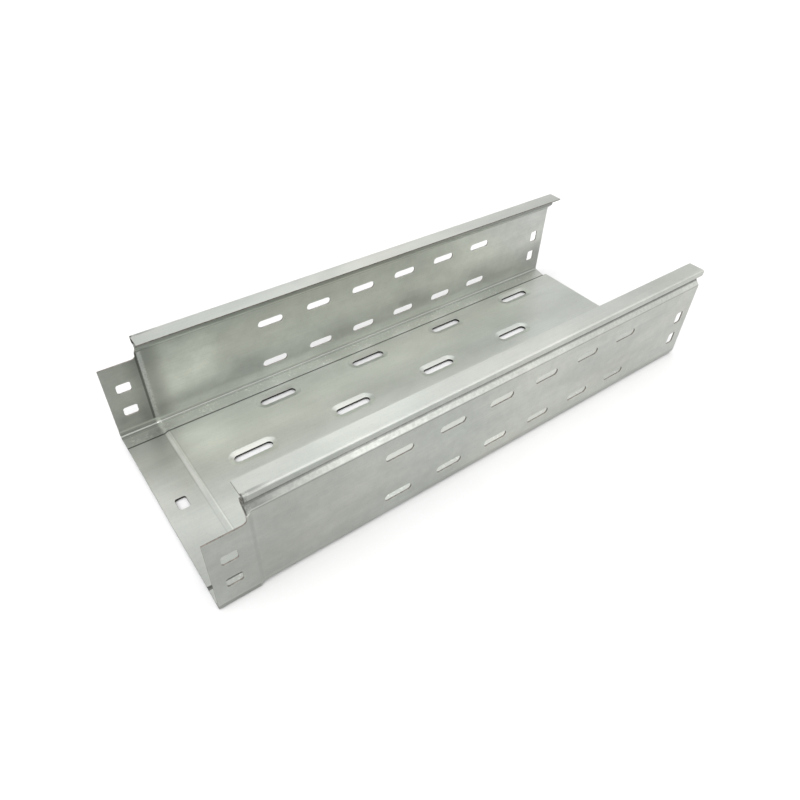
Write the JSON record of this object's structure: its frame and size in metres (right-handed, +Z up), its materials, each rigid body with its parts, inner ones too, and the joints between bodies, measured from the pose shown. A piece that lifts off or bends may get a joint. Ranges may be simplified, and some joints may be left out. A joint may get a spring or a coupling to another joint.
{
  "type": "perforated cable tray",
  "caption": "Length of galvanised perforated cable tray: open channel with slotted walls and base, hemmed top flanges, and a joggled socket end that the next length slides into.",
  "frame": {"origin": "centre of the tray's bounding box, on the floor under it", "axes": "+X along the tray from the socket end to the plain end, +Y across it, +Z up out of the open channel"},
  "size_m": [0.5, 0.199, 0.0965],
  "materials": {
    "galvanised_sheet": "galvanised, satin"
  },
  "bodies": {
    "root": {"cable_tray": "galvanised_sheet"}
  },
  "joints": []
}
